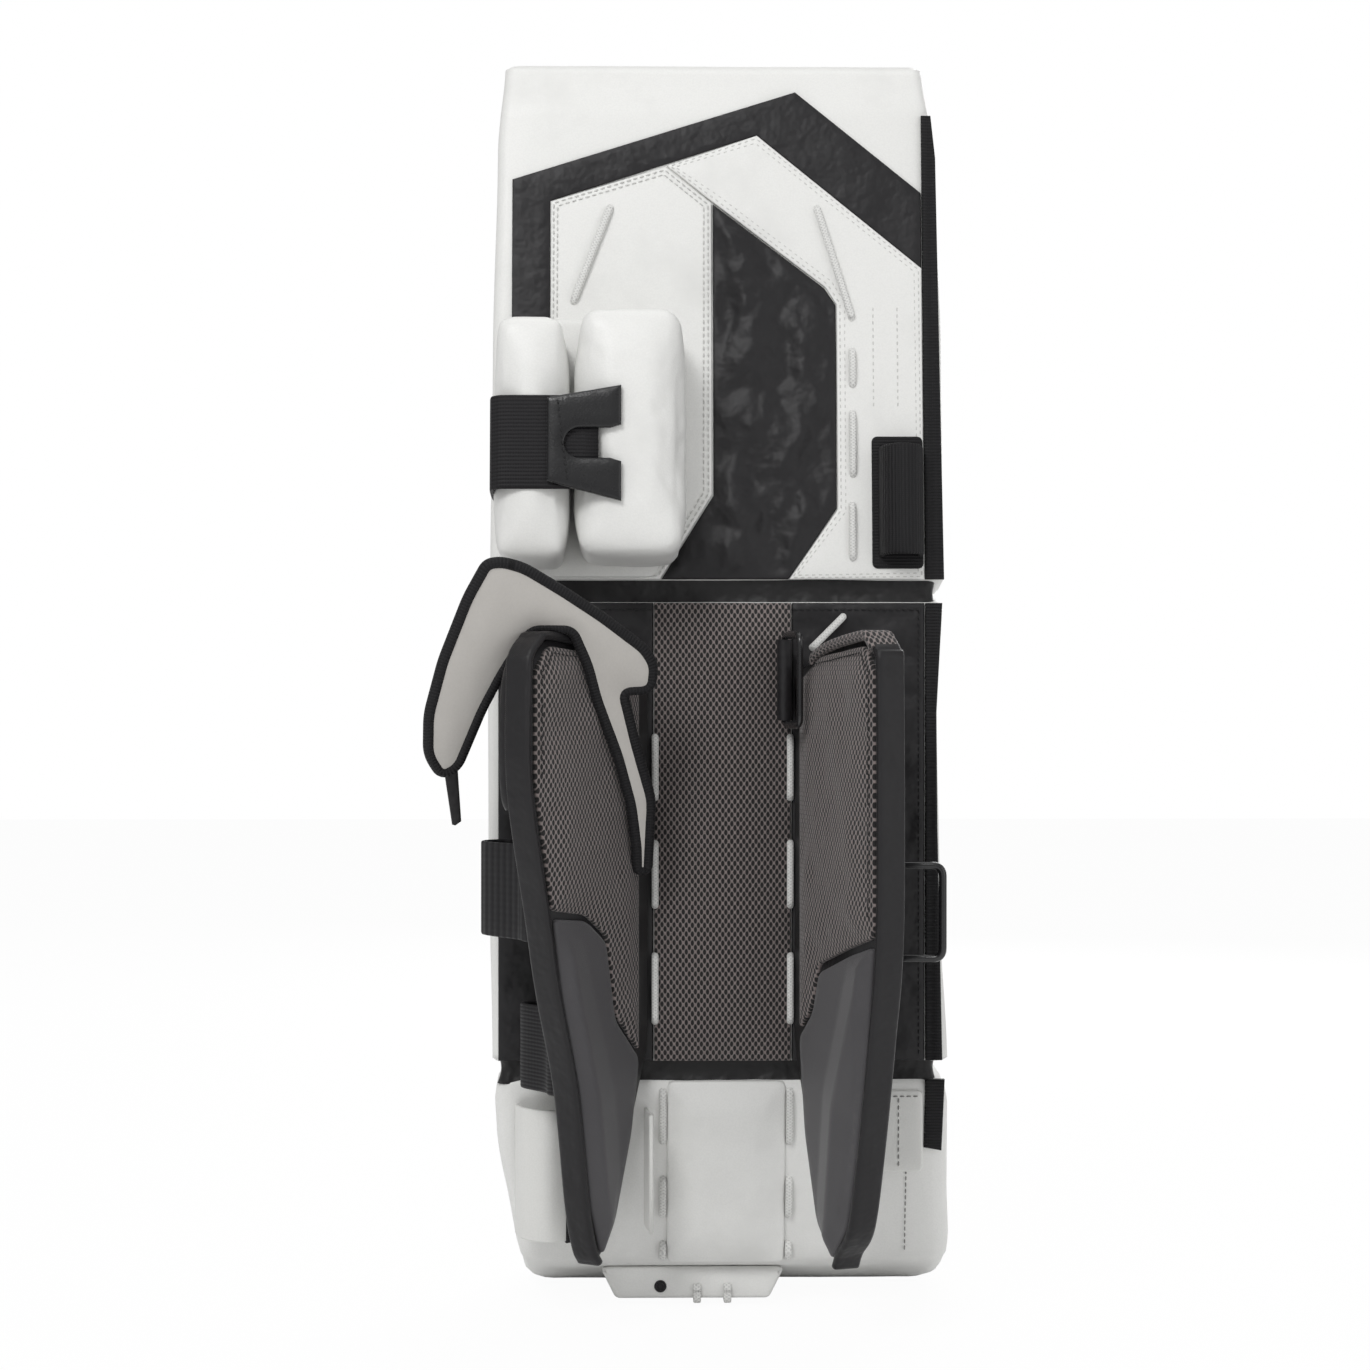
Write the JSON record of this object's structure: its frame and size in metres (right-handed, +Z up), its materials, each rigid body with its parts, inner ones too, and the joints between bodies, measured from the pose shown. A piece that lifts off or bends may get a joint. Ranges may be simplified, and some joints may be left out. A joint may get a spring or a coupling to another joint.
{
  "type": "goalie leg pad",
  "caption": "Upright padded leg guard for an ice hockey goalie, with boot, shin and thigh sections, calf wings, knee blocks, knee wrap, straps, laces and buckles.",
  "frame": {"origin": "on the axis of the wearer's leg, at the height of the pad's lowest point", "axes": "+Z up along the shin, +Y forward away from the leg, +X to the outer side of a right leg"},
  "size_m": [0.3185, 0.2786, 0.7773],
  "materials": {
    "white_leather": "smooth coated leather",
    "black_nylon": "matt woven nylon",
    "grey_suede": "napped lining",
    "grey_mesh": "spacer mesh",
    "foam": "closed cell foam",
    "board": "flat sheet",
    "guard": "moulded felt face",
    "lace": "woven cord",
    "black_plastic": "moulded",
    "black_leather": "coated leather"
  },
  "bodies": {
    "shin": {"shin_core": "foam", "shin_board": "board", "shin_face": "white_leather", "shin_back": "black_nylon", "calf_liner": "grey_mesh", "side_panel_medial": "black_nylon", "side_panel_lateral": "black_nylon", "shin_edge_binding": "black_nylon", "calf_lacing_medial": "lace", "calf_lacing_lateral": "lace", "wing_tie_lace": "lace", "calf_buckle_webbing": "black_nylon"},
    "thigh": {"thigh_core": "foam", "thigh_board": "board", "thigh_face": "white_leather", "thigh_back": "black_nylon", "chevron_band": "black_nylon", "thigh_panel_medial": "white_leather", "thigh_panel_lateral": "white_leather", "knee_pocket": "black_nylon", "thigh_edge_binding": "black_nylon", "thigh_lacing_lateral": "lace", "thigh_lacing_medial": "lace", "knee_stack_base": "white_leather", "knee_block_medial": "white_leather", "knee_block_inner": "white_leather", "knee_strap": "black_nylon", "strap_keeper_base": "black_nylon", "strap_keeper_loop": "black_nylon"},
    "knee_tab": {"knee_strap_tab": "black_leather"},
    "boot": {"boot_core": "foam", "boot_face": "white_leather", "boot_back": "white_leather", "boot_panel": "white_leather", "boot_lacing_medial": "lace", "boot_lacing_lateral": "lace", "boot_edge_binding": "black_nylon"},
    "medial_wing": {"medial_wing_foam": "foam", "medial_wing_liner": "grey_mesh", "medial_wing_guard": "guard", "medial_wing_binding": "black_nylon", "calf_strap_upper": "black_nylon", "calf_strap_lower": "black_nylon", "knee_wrap_root": "grey_suede"},
    "knee_wrap": {"knee_wrap_flap": "grey_suede", "knee_wrap_tail": "black_nylon"},
    "lateral_wing": {"lateral_wing_foam": "foam", "lateral_wing_liner": "grey_mesh", "lateral_wing_guard": "guard", "lateral_wing_binding": "black_nylon", "wing_buckle_webbing": "black_nylon"},
    "calf_buckle": {"calf_buckle": "black_plastic"},
    "wing_buckle": {"wing_buckle": "black_plastic"},
    "boot_strap": {"boot_strap": "white_leather"},
    "tab_medial": {"boot_tab_medial": "white_leather"},
    "tab_lateral": {"boot_tab_lateral": "white_leather"},
    "toe_bridge": {"toe_bridge_pad": "white_leather", "toe_laces": "lace"}
  },
  "joints": [
    {"name": "knee_flex", "type": "hinge", "parent": "shin", "child": "thigh", "pos_m": [0, 0.085, 0.443], "axis": [1, 0, 0], "range_deg": [-5, 6], "stiffness_Nm_per_rad": 20},
    {"name": "knee_tab_hinge", "type": "hinge", "parent": "thigh", "child": "knee_tab", "pos_m": [-0.103, -0.02627, 0.45274], "axis": [0, -0.0872, -0.9962], "range_deg": [0, 60], "stiffness_Nm_per_rad": 0.02},
    {"name": "ankle_flex", "type": "hinge", "parent": "shin", "child": "boot", "pos_m": [0, 0.085, 0.151], "axis": [1, 0, 0], "range_deg": [-5, 10], "stiffness_Nm_per_rad": 20},
    {"name": "medial_wing_hinge", "type": "hinge", "parent": "shin", "child": "medial_wing", "pos_m": [-0.052, 0.0387, 0.28], "axis": [0, 0, 1], "range_deg": [-7, 12], "stiffness_Nm_per_rad": 0.8},
    {"name": "knee_wrap_fold", "type": "hinge", "parent": "medial_wing", "child": "knee_wrap", "pos_m": [-0.12, -0.05838, 0.439], "axis": [-0.3587, -0.3816, 0.8519], "range_deg": [0, 20], "stiffness_Nm_per_rad": 0.4},
    {"name": "lateral_wing_hinge", "type": "hinge", "parent": "shin", "child": "lateral_wing", "pos_m": [0.0535, 0.0387, 0.28], "axis": [0, 0, -1], "range_deg": [-18, 4], "stiffness_Nm_per_rad": 0.8},
    {"name": "calf_buckle_pivot", "type": "hinge", "parent": "shin", "child": "calf_buckle", "pos_m": [0.039, 0.029, 0.39], "axis": [0, 0, 1], "range_deg": [-45, 4]},
    {"name": "wing_buckle_pivot", "type": "hinge", "parent": "lateral_wing", "child": "wing_buckle", "pos_m": [0.09787, -0.03486, 0.255], "axis": [0, 0, 1], "range_deg": [-40, 40]},
    {"name": "boot_strap_hinge", "type": "hinge", "parent": "boot", "child": "boot_strap", "pos_m": [-0.124, 0.049, 0.093], "axis": [0, 0, 1], "range_deg": [-20, 8], "stiffness_Nm_per_rad": 0.05},
    {"name": "boot_tab_medial_hinge", "type": "hinge", "parent": "boot", "child": "tab_medial", "pos_m": [-0.045, 0.0496, 0.091], "axis": [0, 0, 1], "range_deg": [-8, 40], "stiffness_Nm_per_rad": 0.03},
    {"name": "boot_tab_lateral_hinge", "type": "hinge", "parent": "boot", "child": "tab_lateral", "pos_m": [0.11, 0.0473, 0.137], "axis": [-1, 0, 0], "range_deg": [0, 60]},
    {"name": "toe_bridge_hinge", "type": "hinge", "parent": "boot", "child": "toe_bridge", "pos_m": [-0.016, 0.082, 0.0188], "axis": [1, 0, 0], "range_deg": [-35, 20]}
  ]
}
